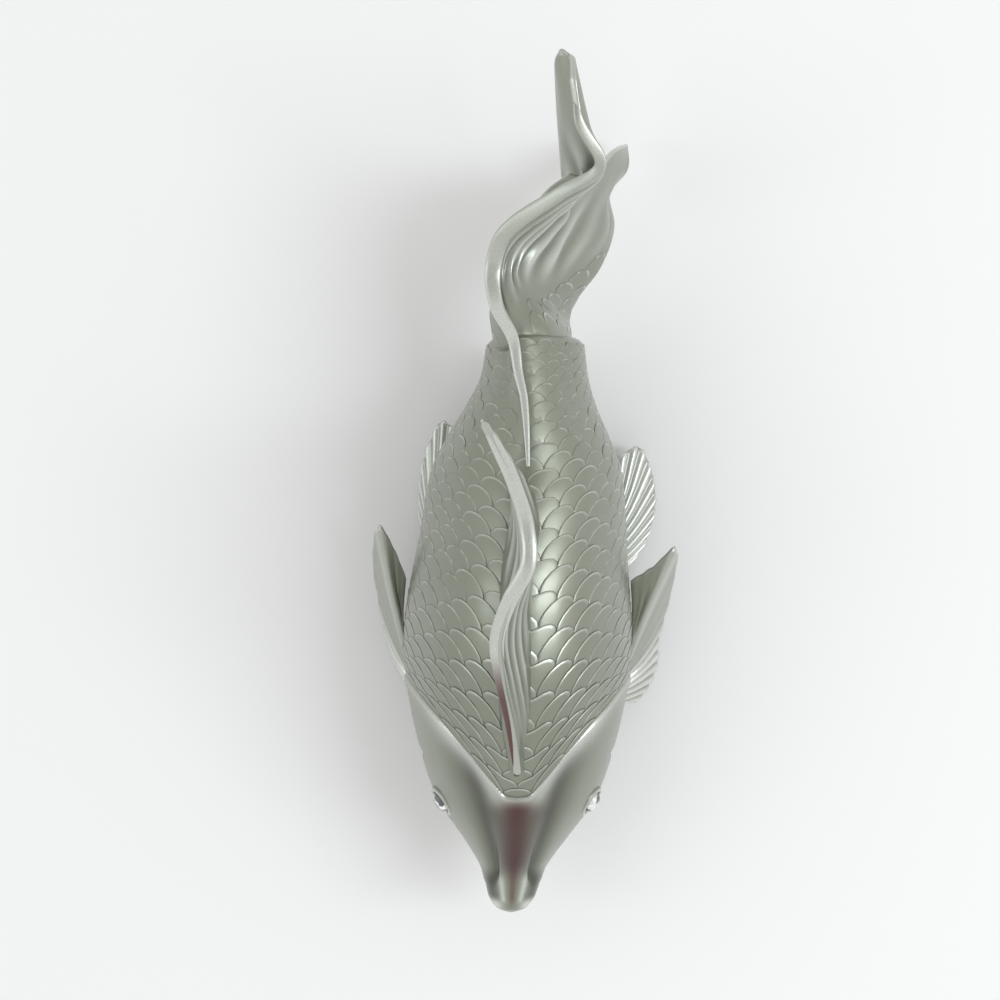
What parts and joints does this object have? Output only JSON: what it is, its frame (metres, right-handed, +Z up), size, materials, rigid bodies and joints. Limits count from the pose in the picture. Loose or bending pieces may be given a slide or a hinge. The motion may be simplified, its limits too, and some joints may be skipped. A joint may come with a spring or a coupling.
{
  "type": "fish figurine",
  "caption": "Satin silver cast resin ornament of a scaled carp with a wavy dorsal fin, spread paired fins, crystal eyes and a rolled forked tail, resting on a felt pad.",
  "frame": {"origin": "centre of the resting face, on the underside of the felt pad", "axes": "+Z up, head along -Y, tail along +Y, the fish's own left flank along +X"},
  "size_m": [0.081, 0.2182, 0.0978],
  "materials": {
    "silver_paint": "satin silver spray paint on cast resin",
    "crystal": "clear faceted crystal",
    "plug_plastic": "moulded grey",
    "felt": "pressed dark grey felt",
    "dowel_steel": "drawn wire"
  },
  "bodies": {
    "root": {"body_casting": "silver_paint", "tail_casting": "silver_paint", "dorsal_fin": "silver_paint", "left_pectoral_fin": "silver_paint", "right_pectoral_fin": "silver_paint", "left_pelvic_fin": "silver_paint", "right_pelvic_fin": "silver_paint", "anal_fin": "silver_paint", "left_eye_stone": "crystal", "right_eye_stone": "crystal", "fill_plug": "plug_plastic", "base_felt": "felt", "tail_dowel": "dowel_steel"}
  },
  "joints": []
}
